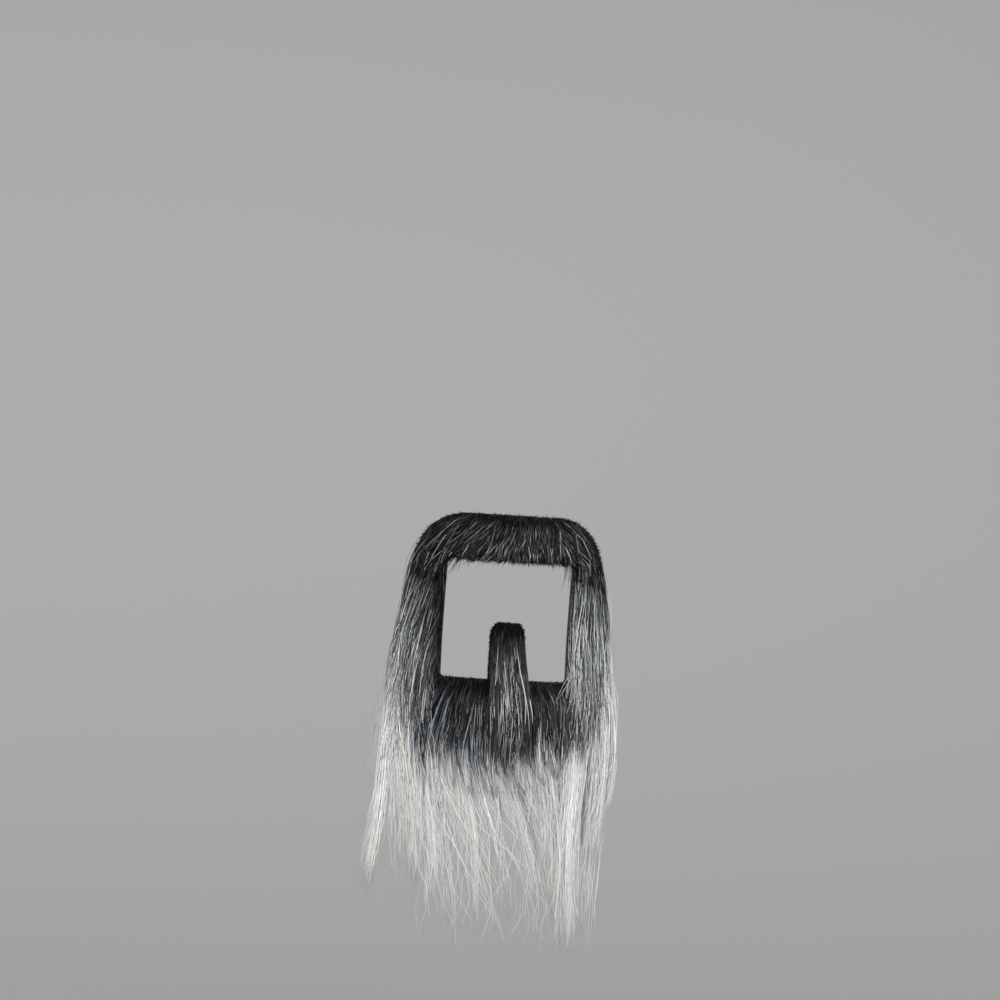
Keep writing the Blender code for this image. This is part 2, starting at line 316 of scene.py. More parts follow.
# Of each kind of fur: how many rings a fibre has and how wide it is, how far it is drawn to its
# wisp, how much it splays and waves, the lift of its sheet, how thick the pile is and within
# what length it rises to that, how far single hairs stray past the edge, and how deep some lie
Look = namedtuple("Look", "rings width pull splay wave lifts thickness rise slack deep")

# A path is a row of points this far apart
STEP, STEPS = 1.5, 76


def field(x, z, seed, size):
    """A slow random field, about -1 to 1, that neighbours share."""
    made = np.random.default_rng(seed)
    waves, stretch, cycle, largest = 5, 0.25, 6.3, 2.2
    total = 0.0
    for _ in range(waves):
        kx, kz = made.normal(0, 1 / size), made.normal(0, stretch / size)
        total = total + np.sin(cycle * (kx * x + kz * z) + made.uniform(0, cycle))
    return total / largest


def comb(flow, x, z, swing, seed, shared=0.8):
    """Paths of wisps that start at these places and follow the lie of the fur."""
    patch, widest, curl = 9.0, 2.2, 0.02
    lean = rng.normal(0, swing, len(x)) + shared * swing * field(x, z, seed, patch)
    lean = np.clip(lean, -widest * swing, widest * swing)
    turn = rng.normal(0, swing * curl, len(x))
    path = np.empty((len(x), STEPS + 1, 2))
    path[:, 0, 0], path[:, 0, 1] = x, z
    for j in range(STEPS):
        at_x, at_z = path[:, j].T
        angle = np.radians(flow(at_x, at_z) + lean + turn * j * STEP)
        path[:, j + 1, 0] = at_x + np.sin(angle) * STEP
        path[:, j + 1, 1] = at_z - np.cos(angle) * STEP
    return path


GATHERING = (3.0, 55.0)  # the lengths along a wisp between which it is drawn to its lock


def gathered(path, heads, pull, kept):
    """Wisps drawn in to the nearest of a few of them, so that locks form with gaps between."""
    chosen = rng.choice(len(path), heads, replace=False)
    nearest = ((path[:, None, 0] - path[chosen][None, :, 0]) ** 2).sum(-1).argmin(1)
    head = path[chosen][nearest]
    apart = path[:, :1] - head[:, :1]
    along = np.arange(STEPS + 1)[None, :, None] * STEP
    drawn = pull * ease(*GATHERING, along)
    return blend(path, head + apart * kept, drawn)


def charted(rows, heights, lifts):
    """Paths of the locks in a table, which gives how far across they are at set heights."""
    path = np.empty((len(rows), STEPS + 1, 2))
    for n, row in enumerate(rows):
        across = row.across[::-1]
        z = heights[0]
        for j in range(STEPS + 1):
            path[n, j] = smooth_through(heights[::-1], across, z), z
            low = smooth_through(heights[::-1], across, z - 1.0)
            z -= STEP / math.hypot(1.0, float(low - path[n, j, 0]))
    path[..., 0] = beneath(path[..., 0], path[..., 1], by_height(lifts, path[..., 1]) + EDGE_PILE)
    return path


def stranded(rows, heights, lifts, each):
    """The table's locks split into strands of this many hairs, which part as they fall."""
    lock = np.repeat(np.arange(len(rows)), [max(1, round(r.hairs / each)) for r in rows])
    spread = np.array([r.spread for r in rows])[lock][:, None]
    count = len(lock)
    along = np.linspace(0.0, 1.0, STEPS + 1)[None, :]
    near, far, swing = rng.normal(0, 1.0, (3, count, 1))
    turn = rng.uniform(0.8, 2.0, (count, 1)) * along + rng.uniform(0, 1, (count, 1))
    path = charted(rows, heights, lifts)[lock]
    path[..., 0] += spread * (0.55 * near * (1 - along) + 0.75 * far * along)
    path[..., 0] += 0.7 * swing * np.sin(2 * np.pi * turn) * ease(0.1, 0.6, along)
    tip = np.array([r.tip for r in rows])[lock] + np.abs(rng.normal(0, 9.0, count))
    return path, lock, tip


def nearest_wisp(path, x, z):
    """The wisp that each root belongs to. A wisp's patch of roots is taller than wide."""
    batch, upright = 1500, 0.5
    owner = np.empty(len(x), int)
    for start in range(0, len(x), batch):
        part = slice(start, start + batch)
        aside, above = x[part, None] - path[:, 0, 0], z[part, None] - path[:, 0, 1]
        owner[part] = (aside**2 + upright * above**2).argmin(1)
    return owner


# Heads, pull and kept say how the wisps are gathered into locks. Without heads they aren't.
Sowing = namedtuple(
    "Sowing", "plot wisps fibres flow swing seed heads pull kept", defaults=(0, 0.0, 0.35)
)


def sown(sowing):
    """Wisps and fibres over a plot: the wisps' paths, and each fibre's wisp and root."""
    path = comb(sowing.flow, *scatter(sowing.wisps, sowing.plot), sowing.swing, sowing.seed)
    if sowing.heads:
        path = gathered(path, sowing.heads, sowing.pull, sowing.kept)
    x, z = scatter(sowing.fibres, sowing.plot)
    return path, nearest_wisp(path, x, z), x, z


def single(count, plot, flow, swing, seed, shared):
    """Single hairs over a plot, as sown() gives them: each is a wisp of its own."""
    x, z = scatter(count, plot)
    return comb(flow, x, z, swing, seed, shared), np.arange(count), x, z


RING_SPACING = 0.92  # a power: under 1, the rings are closer at the tip
LEAST_DRAWN = 0.55  # every fibre has at least this share of the pull
WAVELENGTHS = (14, 40)
SHORTEST = 0.12  # the share that is left of a fibre at least
EDGE_BEND = 1.2  # over this, a fibre that would pass the fur's edge bends to it
THIN_EDGE, THIN_EDGE_WIDTH = 0.55, 7.0  # how much thinner the pile gets at its edge
THIN_TIP, TIP_FROM = 0.35, 0.7  # how far the tips come down again
BOB = 0.25  # how far the hair waves in and out


# Of each fibre's rings: place across and height, length from the root, point, and normal
Hair = namedtuple("Hair", "x z run point normal")


def lay(look, path, owner, x, z, length, low_end=None, walls=None):
    """Fibres that follow their wisps from these roots, and stay within the walls."""
    count = len(x)
    length = np.zeros(count) + length
    share = np.linspace(0.0, 1.0, look.rings + 1)[None, :] ** RING_SPACING
    draw = rng.uniform(LEAST_DRAWN, 1.0, count)[:, None]
    splay = rng.normal(0, look.splay, count)[:, None]
    phase = rng.uniform(0, 2 * np.pi, count)[:, None]
    wavelength = rng.uniform(*WAVELENGTHS, count)[:, None]
    slack = rng.exponential(look.slack, count)[:, None]
    own = owner[:, None]
    for last in (False, True):
        run = length[:, None] * share
        place = np.clip(run / STEP, 0, STEPS - 1e-6)
        cell = place.astype(int)
        rest = (place - cell)[..., None]
        at = blend(path[own, cell], path[own, cell + 1], rest)
        drawn = 1.0 - look.pull * draw * ease(0.05, 1.0, share)
        at_x = at[..., 0] + (x - path[owner, 0, 0])[:, None] * drawn
        at_z = at[..., 1] + (z - path[owner, 0, 1])[:, None] * (1.0 - 0.5 * share)
        wave = look.wave * np.sin(phase + 2 * np.pi * run / wavelength) * ease(0.0, 1.0, share)
        at_x = at_x + splay * run * share + wave
        if low_end is not None and not last:
            fallen = np.maximum(z - at_z[:, -1], 0.1)
            length = length * np.clip((z - low_end) / fallen, SHORTEST, 1.0)
    edge = fur_edge(at_x, at_z) + slack - EDGE_BEND
    over = np.clip(np.abs(at_x) - edge, 0, None)
    bent = EDGE_BEND * (1 - np.exp(-over / EDGE_BEND))
    at_x = np.sign(at_x) * (np.abs(at_x) - over + bent)
    if walls is not None:
        at_x = walls(at_x, at_z, 0.25 * slack)

    layer = np.clip(rng.beta(1.6, 1.1, len(path))[owner] + rng.normal(0, 0.14, count), 0.02, 1.05)
    full = look.thickness * ease(0.0, look.rise, run)
    full *= 1.0 - THIN_TIP * ease(TIP_FROM, 1.0, share)
    full *= 1.0 - THIN_EDGE * ease(-THIN_EDGE_WIDTH, 0.0, np.abs(at_x) - edge - EDGE_BEND)
    bob = BOB * np.sin(2.3 * phase + 2 * np.pi * run / (wavelength * 0.8)) * share
    sheet = 1.0 + (by_height(look.lifts, at_z) - 1.0) * ease(0.0, 1.5 * look.rise, run + 1.0)
    sunk = look.deep * rng.beta(1.0, 2.0, count)[:, None]
    sheet = sheet - (sheet - 1.0) * sunk
    point, normal = surface_at(at_x, at_z, sheet + layer[:, None] * full + bob)
    return Hair(at_x, at_z, run, point, normal)


SIDES = 3  # of each tube
WIDTH_SHAPE = 9.0  # the higher, the more alike the fibres' widths are
TINTS = (0.05, 0.90)  # where on the map a fibre's cool or warm tint is looked up


def tubes(look, hair, tone, finer=1.0):
    """Closed tapering tubes of three sides, as vertices, corners, face sizes and map places."""
    point, count, rings = hair.point, len(hair.point), look.rings
    share = np.linspace(0.0, 1.0, rings + 1)[None, :]
    ahead = np.gradient(point, axis=1)
    ahead /= np.linalg.norm(ahead, axis=-1, keepdims=True) + 1e-9
    across = np.cross(ahead, hair.normal)
    across /= np.linalg.norm(across, axis=-1, keepdims=True) + 1e-9
    out = np.cross(across, ahead)
    body = 0.82 + 0.18 * ease(0.0, 0.2, share) - 0.62 * ease(0.45, 1.0, share)
    uneven = rng.gamma(WIDTH_SHAPE, 1 / WIDTH_SHAPE, count)[:, None]
    radius = look.width * finer / 2 * uneven * body
    roll = rng.uniform(0, 2 * np.pi, count)[:, None]
    tip = rings * SIDES
    verts = np.empty((count, tip + 1, 3))
    for k in range(SIDES):
        turn = roll + 2 * np.pi * k / SIDES
        ring = point + radius[..., None] * (
            np.cos(turn)[..., None] * out + np.sin(turn)[..., None] * across
        )
        verts[:, k:tip:SIDES] = ring[:, :rings]
    verts[:, tip] = point[:, -1]

    pairs = [(k, (k + 1) % SIDES) for k in range(SIDES)]
    starts = range(0, tip - SIDES, SIDES)
    quads = [(j + a, j + b, j + b + SIDES, j + a + SIDES) for j in starts for a, b in pairs]
    last = tip - SIDES
    tris = [(last + a, last + b, tip) for a, b in pairs] + [(2, 1, 0)]
    one = np.concatenate([np.array(quads).ravel(), np.array(tris).ravel()])
    sizes = np.tile([len(face) for face in quads + tris], count)

    # The fibre's colour is looked up by its tint, across, and its lightness, upwards.
    tint = rng.uniform(*TINTS, count)
    ring_of = np.append(np.repeat(np.arange(rings), SIDES), rings)[one]
    side_of = np.append(np.tile(np.arange(SIDES), rings), 1)[one]
    u = tint[:, None] + 0.018 * side_of
    v = 0.02 + 0.93 * np.clip(tone, 0, 1)[:, ring_of] + 0.02 * ring_of / rings
    corners = (np.arange(count) * (tip + 1))[:, None] + one
    return verts.reshape(-1, 3), corners.ravel(), sizes, np.stack([u, v], -1).reshape(-1, 2)


def make_fur(name, groups, slot, *nodes):
    """Joins groups of fibres into one piece, which stands for the nodes."""
    verts, corners, sizes, places = zip(*groups)
    firsts = np.cumsum([0] + [len(v) for v in verts[:-1]])
    corners = np.concatenate([c + first for c, first in zip(corners, firsts)])
    verts, sizes, places = (np.concatenate(part) for part in (verts, sizes, places))
    mesh = bpy.data.meshes.new(name)
    mesh.vertices.add(len(verts))
    mesh.vertices.foreach_set("co", (verts * MM).ravel())
    mesh.loops.add(len(corners))
    mesh.loops.foreach_set("vertex_index", corners)
    mesh.polygons.add(len(sizes))
    mesh.polygons.foreach_set("loop_start", np.concatenate([[0], np.cumsum(sizes)[:-1]]))
    mesh.update(calc_edges=True)
    mesh.validate()
    mesh.shade_smooth()
    chart = mesh.uv_layers.new(name="OFBake")
    chart.data.foreach_set("uv", places.ravel())
    mesh.materials.append(FIBRE[slot])
    obj = add_object(name, mesh)
    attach(obj, "root")
    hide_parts(*nodes)


def kinds(owner, wisps, own_share=0.6):
    """A random number for each fibre, 0 to 1, mostly shared by a whole wisp."""
    count = len(owner)
    mine = rng.random(count) < own_share
    return np.where(mine, rng.random(count), rng.random(wisps)[owner])[:, None]


FUZZ = namedtuple("Fibre", "rings width")(rings=3, width=0.15)
LONGEST_CELL = 4.0  # a longer step joins two runs of an edge, and no pile grows on it


def fuzz(points, chooser, count, length, tone):
    """Short dark pile along the cut edges, which hides the cloth's edge."""
    line = np.array(points)
    line = line[chooser(line[:, 0], line[:, 1])] if chooser else line
    step = np.diff(line, axis=0)
    size = np.hypot(step[:, 0], step[:, 1])
    near = size < LONGEST_CELL
    start, step, size = line[:-1][near], step[near], size[near]
    pick = rng.choice(len(size), count, p=size / size.sum())
    spot = start[pick] + step[pick] * rng.random(count)[:, None]
    normal = np.stack([step[pick, 1], -step[pick, 0]], -1) / size[pick][:, None]
    probe = spot + normal * 0.6
    normal *= np.where(covered(probe[:, 0], probe[:, 1]), -1.0, 1.0)[:, None]
    down = np.stack([rng.normal(0, 0.5, count), -rng.uniform(0.2, 1.2, count)], -1)
    way = normal * rng.uniform(0.1, 1.0, count)[:, None] + down
    way /= np.linalg.norm(way, axis=-1, keepdims=True)
    reach = length * rng.uniform(0.4, 1.2, count)
    share = np.linspace(0, 1, FUZZ.rings + 1)
    at = (spot - normal * 0.3)[:, None] + way[:, None] * (reach[:, None] * share)[..., None]
    lift = 1.0 + rng.uniform(0.3, 1.5, count)[:, None] * share
    x, z = at[..., 0], at[..., 1]
    level = tone * rng.uniform(0.4, 1.6, count)[:, None] * np.ones_like(share)
    return tubes(FUZZ, Hair(x, z, None, *surface_at(x, z, lift)), level)


# Materials


def new_material(name):
    made = bpy.data.materials.new(name)
    made.use_nodes = True
    tree = made.node_tree
    return made, tree, tree.nodes["Principled BSDF"]


def fill(node, **values):
    """Sets a node's inputs. A name's spaces are underscores here."""
    for name, value in values.items():
        node.inputs[name.replace("_", " ")].default_value = value


def ramp(tree, factor, stops):
    node = tree.nodes.new("ShaderNodeValToRGB")
    elements = node.color_ramp.elements
    while len(elements) < len(stops):
        elements.new(0.5)
    for element, (place, colour) in zip(elements, stops):
        element.position = place
        element.color = (*colour, 1.0)
    tree.links.new(factor, node.inputs["Fac"])
    return node.outputs["Color"]


# The fibre's colour by its lightness, at the cool and at the warm end of the tints
COOL = (
    (0.00, (0.0020, 0.0020, 0.0025)), (0.20, (0.0056, 0.0063, 0.0078)),
    (0.40, (0.042, 0.050, 0.059)), (0.60, (0.186, 0.214, 0.240)),
    (0.80, (0.53, 0.555, 0.580)), (1.00, (0.95, 0.95, 0.95)),
)
WARM = (
    (0.00, (0.0028, 0.0020, 0.0018)), (0.20, (0.0080, 0.0068, 0.0060)),
    (0.40, (0.055, 0.053, 0.048)), (0.60, (0.240, 0.228, 0.200)),
    (0.80, (0.61, 0.585, 0.525)), (1.00, (0.97, 0.94, 0.87)),
)


def fibre_material(name, roughness, gloss):
    """Synthetic fibre: its lightness runs up the map, and its tint runs across it."""
    made, tree, shader = new_material(name)
    link = tree.links.new
    uv = tree.nodes.new("ShaderNodeUVMap")
    uv.uv_map = "OFBake"
    split = tree.nodes.new("ShaderNodeSeparateXYZ")
    link(uv.outputs["UV"], split.inputs[0])
    mix = tree.nodes.new("ShaderNodeMix")
    mix.data_type = "RGBA"
    warmth = ramp(tree, split.outputs["X"], ((0.35, (0, 0, 0)), (0.85, (1, 1, 1))))
    link(warmth, mix.inputs["Factor"])
    link(ramp(tree, split.outputs["Y"], COOL), mix.inputs["A"])
    link(ramp(tree, split.outputs["Y"], WARM), mix.inputs["B"])
    link(mix.outputs["Result"], shader.inputs["Base Color"])
    speckle = tree.nodes.new("ShaderNodeTexNoise")
    fill(speckle, Scale=60.0)
    link(uv.outputs["UV"], speckle.inputs["Vector"])
    spread = tree.nodes.new("ShaderNodeMapRange")
    fill(spread, To_Min=roughness - 0.08, To_Max=roughness + 0.12)
    link(speckle.outputs["Fac"], spread.inputs["Value"])
    link(spread.outputs["Result"], shader.inputs["Roughness"])
    fill(shader, Specular_IOR_Level=gloss)
    return made


FIBRE = {
    "dark_hair": fibre_material("black_fibre", 0.36, 0.14),
    "grey_hair": fibre_material("grey_fibre", 0.38, 0.18),
    "white_hair": fibre_material("white_fibre", 0.42, 0.35),
}


def bands(tree, direction, scale, distortion, detail):
    """Fine stripes over the object, in one direction."""
    spot = tree.nodes.new("ShaderNodeTexCoord")
    wave = tree.nodes.new("ShaderNodeTexWave")
    wave.wave_type, wave.bands_direction = "BANDS", direction
    fill(wave, Scale=scale, Distortion=distortion, Detail=detail)
    tree.links.new(spot.outputs["Object"], wave.inputs["Vector"])
    return wave.outputs["Fac"]


KNIT = (
    (0.0, (0.003, 0.003, 0.003)), (0.5, (0.010, 0.010, 0.011)),
    (1.0, (0.030, 0.030, 0.032)),
)


def knit_material():
    """Black knitted ground cloth: columns and rows of fine loops, with bump."""
    made, tree, shader = new_material("knitted_ground")
    link = tree.links.new
    loops = tree.nodes.new("ShaderNodeMath")
    loops.operation = "MULTIPLY"
    columns = bands(tree, "X", scale=420.0, distortion=1.2, detail=1.0)
    rows = bands(tree, "Z", scale=560.0, distortion=1.6, detail=2.0)
    link(columns, loops.inputs[0])
    link(rows, loops.inputs[1])
    link(ramp(tree, loops.outputs[0], KNIT), shader.inputs["Base Color"])
    bump = tree.nodes.new("ShaderNodeBump")
    fill(bump, Strength=0.8, Distance=0.0003)
    link(loops.outputs[0], bump.inputs["Height"])
    link(bump.outputs["Normal"], shader.inputs["Normal"])
    fill(shader, Roughness=0.85, Specular_IOR_Level=0.2, Sheen_Weight=0.1)
    return made


# The cloth

FRAME_CELLS, TAB_ROWS = 12, 20  # cells across the frame, and up the tab
CLOTH_THICKNESS = 1.1
RIPPLE = 0.06  # how far the cloth's waves lift it off the worn surface
MERGE = 0.0001  # how near, in metres, the two halves' points are joined


def frame_mesh():
    """Places and faces of the frame's right half, from the window's edge to the outer one."""
    shares = [k / FRAME_CELLS for k in range(FRAME_CELLS + 1)]
    places, faces = [], []
    for near, far in zip(window_points(), outer_points()):
        places += [[a + (b - a) * s for a, b in zip(near, far)] for s in shares]
    width = len(shares)
    for j in range(len(places) // width - 1):
        for k in range(FRAME_CELLS):
            a = j * width + k
            faces.append((a, a + width, a + width + 1, a + 1))
    return places, faces, width


def make_cloth():
    """The knitted cloth: half the frame and half the tab, mirrored and given its thickness."""
    places, faces, width = frame_mesh()
    columns = TAB_CELLS + 1
    base = [len(places) + (k - columns) * width for k in range(columns)]
    for j in range(1, TAB_ROWS + 1):
        up = (TAB_TOP - WINDOW_BOTTOM) * j / TAB_ROWS
        half = float(tab_half(up))
        row = list(range(len(places), len(places) + columns))
        places += [[half * (1 - k / TAB_CELLS), WINDOW_BOTTOM + up] for k in range(columns)]
        for k in range(TAB_CELLS):
            faces.append((base[k], row[k], row[k + 1], base[k + 1]))
        base = row
    x, z = np.array(places).T
    ripple = RIPPLE * np.sin(1.7 * z + 0.6 * x) * np.sin(0.9 * x)
    points, _ = surface_at(x, z, np.clip(ripple, 0, None))
    mesh = bpy.data.meshes.new("knitted_cloth")
    mesh.from_pydata((points * MM).tolist(), [], faces)
    mesh.update()
    obj = add_object("knitted_cloth", mesh)
    mirror = obj.modifiers.new("other half", "MIRROR")
    mirror.merge_threshold = MERGE
    shell = obj.modifiers.new("thickness", "SOLIDIFY")
    shell.thickness = CLOTH_THICKNESS * MM
    shell.offset = 1.0
    mesh.shade_smooth()
    mesh.materials.append(knit_material())
    return obj


cloth = make_cloth()
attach(cloth, "root")
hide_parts("backing")

# The fur

# Where hair turns from slate to white, as it hangs
PALE_LINE = (
    (-45, -48), (-40, -53), (-36, -60), (-31, -70), (-27, -77), (-23, -79.5), (-20, -77),
    (-14, -79), (-7, -82), (-1, -82.5), (6, -79.5), (12, -76), (20, -77), (27, -74.5),
    (31, -71), (34, -64), (38, -55), (42, -46), (46, -38),
)


def paleness(x, z, soft, owner, uneven=4.0, sooner=0.0):
    """How white the hair is here: 0 well above its wisp's pale line, and 1 well below it."""
    line = by_place(PALE_LINE, x)
    shift = rng.normal(0, uneven, owner.max() + 1)[owner] + rng.normal(0, 1.5, len(x)) + sooner
    return ease(-soft, soft, line - z + shift[:, None])


# How light the dark, slate and silver shades are at the root, and what they gain: from, to, by
Shade = namedtuple("Shade", "root gains")
SIDE_SHADES = (
    Shade(0.08, ((4, 24, 0.22), (24, 48, 0.14))),
    Shade(0.12, ((1, 15, 0.34), (15, 36, 0.14))),
    Shade(0.20, ((0, 10, 0.44), (10, 30, 0.24))),
)
CHIN_SHADES = (
    Shade(0.12, ((3, 20, 0.19),)),
    Shade(0.14, ((1, 12, 0.29),)),
    Shade(0.24, ((0.5, 8, 0.38),)),
)
TAB_SHADES = (
    Shade(0.06, ((4, 20, 0.12),)),
    Shade(0.10, ((2, 14, 0.20),)),
    Shade(0.22, ((1, 9, 0.32),)),
)
TAB_LOWER = 0.04, 0.06, 0.22  # what the tab's shades gain further down


def lightness(shade, run):
    """How light a fibre of this shade is, this far along it."""
    level = shade.root
    for start, end, gain in shade.gains:
        level = level + gain * ease(start, end, run)
    return level


def both_halves(points):
    return [(sign * x, z) for sign in (1, -1) for x, z in points]


outer, inner, tab_edge = (both_halves(p) for p in (outer_points(), window_points(), tab_points()))

# Moustache: short dark hair with single silver hairs, cut level with the window
MOUSTACHE = Look(
    rings=5, width=0.185, pull=0.35, splay=0.06, wave=0.15,
    lifts=MOUSTACHE_LIFT, thickness=2.6, rise=4.0, slack=0.35, deep=0.3
)


def bar(x, z):
    return on_cloth(x, z) & ((z > WINDOW_TOP + 0.1) | (np.abs(x) > WINDOW_HALF_WIDTH + 0.2))


MOUSTACHE_SOWING = Sowing(
    plot=Plot(bar, -34, 34, -9.5, 8),
    wisps=1150, fibres=6300, flow=moustache_flow, swing=11.0, seed=3
)
CUT_END, CUT_REACH = -8.5, 21.5  # where it is cut level, and how far out it is
LONG_END = -13.0  # further out it ends below this


def moustache():
    path, owner, x, z = sown(MOUSTACHE_SOWING)
    length = rng.uniform(8.0, 17.0, len(path))[owner] * rng.uniform(0.75, 1.05, len(x))
    landing = np.abs(x + (z - CUT_END) * np.tan(np.radians(moustache_flow(x, z))))
    level = CUT_END - rng.exponential(0.45, len(x))
    past = LONG_END - rng.exponential(7.0, len(x))
    low_end = np.where(landing < CUT_REACH, level, past)
    length = length * (1.0 + 0.7 * ease(20.0, 26.0, landing))
    hair = lay(MOUSTACHE, path, owner, x, z, length, low_end)
    kind = kinds(owner, len(path), 0.85) * (1.0 - 0.1 * ease(3.5, 6.5, z))[:, None]
    silver, slate, dark = rng.uniform(0.44, 0.74, len(x))[:, None], 0.34, 0.07 + 0.2 * kind
    tone = np.where(kind > 0.815, silver, np.where(kind > 0.57, slate, dark))
    # Each hair is darker over its first 5 mm from the root: painted shade deep in the pile
    tone = tone * (0.30 + 0.70 * ease(0.8, 5.0, hair.run)) + 0.03 * field(hair.x, hair.z, 3, 9)
    return [
        tubes(MOUSTACHE, hair, tone),
        fuzz(outer, lambda x, z: z > -9, 900, 1.1, 0.12),
        fuzz(inner, lambda x, z: z > -9, 300, 1.0, 0.2),
    ]


make_fur("moustache_fur", moustache(), "dark_hair", "moustache")

# Sides: dark roots, slate and silver lengths, white ends
SIDE = Look(
    rings=8, width=0.20, pull=0.55, splay=0.006, wave=0.5,
    lifts=SIDE_LIFT, thickness=3.6, rise=9.0, slack=0.6, deep=0.5
)
# Of each lock: how far across it is at the heights in its table, the height of its tip, how
# many hairs it has, how wide it spreads, how bright it is, and how far it strays from the edge
Lock = namedtuple("Lock", "across tip hairs spread cream loose", defaults=(1.0,))
SIDE_HEIGHTS = (-38.0, -60.0, -80.0, -100.0, -120.0)
RIGHT_LOCKS = (
    Lock((-32.5, -38.8, -40.4, -41.0, -43.6), -137, 180, 2.2, 0.9),
    Lock((-33.0, -40.0, -41.6, -44.0, -49.0), -135, 50, 1.8, 0.4),
    Lock((-32.0, -37.6, -37.0, -35.3, -34.0), -131, 50, 1.6, 0.3),
    Lock((-30.5, -35.6, -33.0, -30.2, -27.8), -141, 70, 1.8, 0.3),
    Lock((-28.5, -32.4, -30.4, -27.6, -26.0), -132, 50, 1.8, 0.2),
    Lock((-35.5, -44.2, -49.0, -52.0, -53.0), -96, 18, 2.4, 0.0, 30.0),
    Lock((-34.8, -42.2, -46.0, -49.0, -51.0), -104, 27, 2.4, 0.0, 30.0),
    Lock((-34.2, -40.4, -43.0, -46.0, -49.5), -118, 18, 2.2, 0.2, 20.0),
)
LEFT_LOCKS = (
    Lock((33.0, 41.0, 42.6, 40.6, 39.6), -116, 120, 1.8, 0.3),
    Lock((32.0, 38.2, 39.4, 38.2, 40.5), -124, 120, 2.0, 0.4),
    Lock((33.5, 42.8, 44.9, 44.2, 43.5), -110, 80, 1.3, 0.2),
    Lock((29.5, 34.8, 36.0, 35.4, 36.4), -124, 100, 1.8, 0.4),
    Lock((34.0, 42.6, 46.5, 50.0, 51.0), -88, 6, 1.5, 0.2, 30.0),
)


def strip(x, z):
    return on_cloth(x, z) & (np.abs(x) > WINDOW_HALF_WIDTH + 0.1) & (z < -1.0)


# Of each strip: its share of silver hairs from the window outwards, how far on its shades are
# at the root, its share of long hairs and how low they end, and its short pile's lightness
Strip = namedtuple("Strip", "sign locks silvers grown far lowest edge_tone")
LEFT = Strip(
    sign=1, locks=LEFT_LOCKS,
    silvers=((22, 0.54), (25, 0.54), (27, 0.24), (29, 0.28), (32, 0.46), (36, 0.54)),
    grown=3.0, far=0.12, lowest=-112.0, edge_tone=0.44
)
RIGHT = Strip(
    sign=-1, locks=RIGHT_LOCKS,
    silvers=((22, 0.08), (25, 0.18), (28, 0.38), (31, 0.42), (36, 0.38)),
    grown=0.5, far=0.06, lowest=-119.0, edge_tone=0.16
)
SIDE_NEAR, SIDE_FAR, SIDE_BOTTOM, SIDE_TOP = 22.4, 36.0, -67, -1
WIDEST_ROOT = 33.6  # how far out the locks' roots may be
LOCK_LENGTH, STRAY_COUNT = 96.0, 110


def beside_window(x, z, slack):
    """Holds the hair out of the window."""
    inside = (z > WINDOW_BOTTOM) & (z < WINDOW_TOP)
    held = np.maximum(np.abs(x), WINDOW_HALF_WIDTH - 0.1 - slack)
    return np.where(inside, np.sign(x) * held, x)


def side_tone(side, hair, kind, cream, owner):
    grown = hair.run + rng.normal(0, 4.0, len(kind))[:, None] + side.grown
    dark, slate, silver = (lightness(s, grown) for s in SIDE_SHADES)
    silvers = by_place(side.silvers, np.abs(hair.x[:, 0]))[:, None]
    level = np.where(kind > 1 - silvers, silver, np.where(kind > 0.34, slate, dark))
    level = level * (0.52 + 0.48 * ease(6.0, 21.0, -hair.z))
    pale = paleness(hair.x, hair.z, 4.0, owner, 5.0)
    end = 0.62 + 0.26 * kind**0.7 + 0.10 * cream
    return blend(level, end, pale)


def side_strip(side, plot):
    """The fur of the strip itself, some of which reaches far down."""
    sowing = Sowing(plot, 520, 2900, side_flow, swing=3.8, seed=5 + side.sign, heads=70, pull=0.75)
    path, owner, x, z = sown(sowing)
    long = rng.random(len(path)) > 0.38
    length = np.where(long, rng.uniform(38, 66, len(path)), rng.uniform(12, 30, len(path)))
    length = length[owner] * rng.uniform(0.75, 1.05, len(x))
    far = rng.random(len(path))[owner] < side.far
    ends = side.lowest + 38.0 * rng.beta(1.1, 1.5, len(x))
    low_end = np.where(far, ends, rng.normal(-68, 5, len(x)))
    hair = lay(SIDE, path, owner, x, z, length, low_end, beside_window)
    tone = side_tone(side, hair, kinds(owner, len(path), 0.7), 0.3, owner)
    return tubes(SIDE, hair, tone)


def side_locks(side):
    """The locks in the table. Loose ones are finer, and stray past the fur's edge."""
    path, lock, tip = stranded(side.locks, SIDE_HEIGHTS, SIDE_LIFT, 9)
    all_loose, all_cream = np.array([(r.loose, r.cream) for r in side.locks]).T
    owner = np.repeat(np.arange(len(path)), np.where(all_loose[lock] > 1, 5, 9))
    x = path[owner, 0, 0] + rng.normal(0, 0.6, len(owner))
    x = np.clip(np.abs(x), WINDOW_HALF_WIDTH + 0.3, WIDEST_ROOT) * side.sign
    z = path[owner, 0, 1] + rng.uniform(-14, 10, len(owner))
    low_end = tip[owner] + 36.0 * rng.beta(1.0, 1.7, len(owner))
    loose, cream = all_loose[lock][owner], all_cream[lock][owner][:, None]
    look = SIDE._replace(pull=0.88, width=0.18, wave=0.5, slack=1.2 * loose, splay=0.008)
    hair = lay(look, path, owner, x, z, LOCK_LENGTH, low_end)
    kind = 0.4 + 0.6 * kinds(owner, len(path), 0.5) ** (1.0 - 0.6 * cream)
    tone = side_tone(side, hair, kind, cream, np.arange(len(owner)))
    finer, darker = (np.where(loose > 1, share, 1.0)[:, None] for share in (0.72, 0.86))
    return tubes(look, hair, tone * darker, finer)


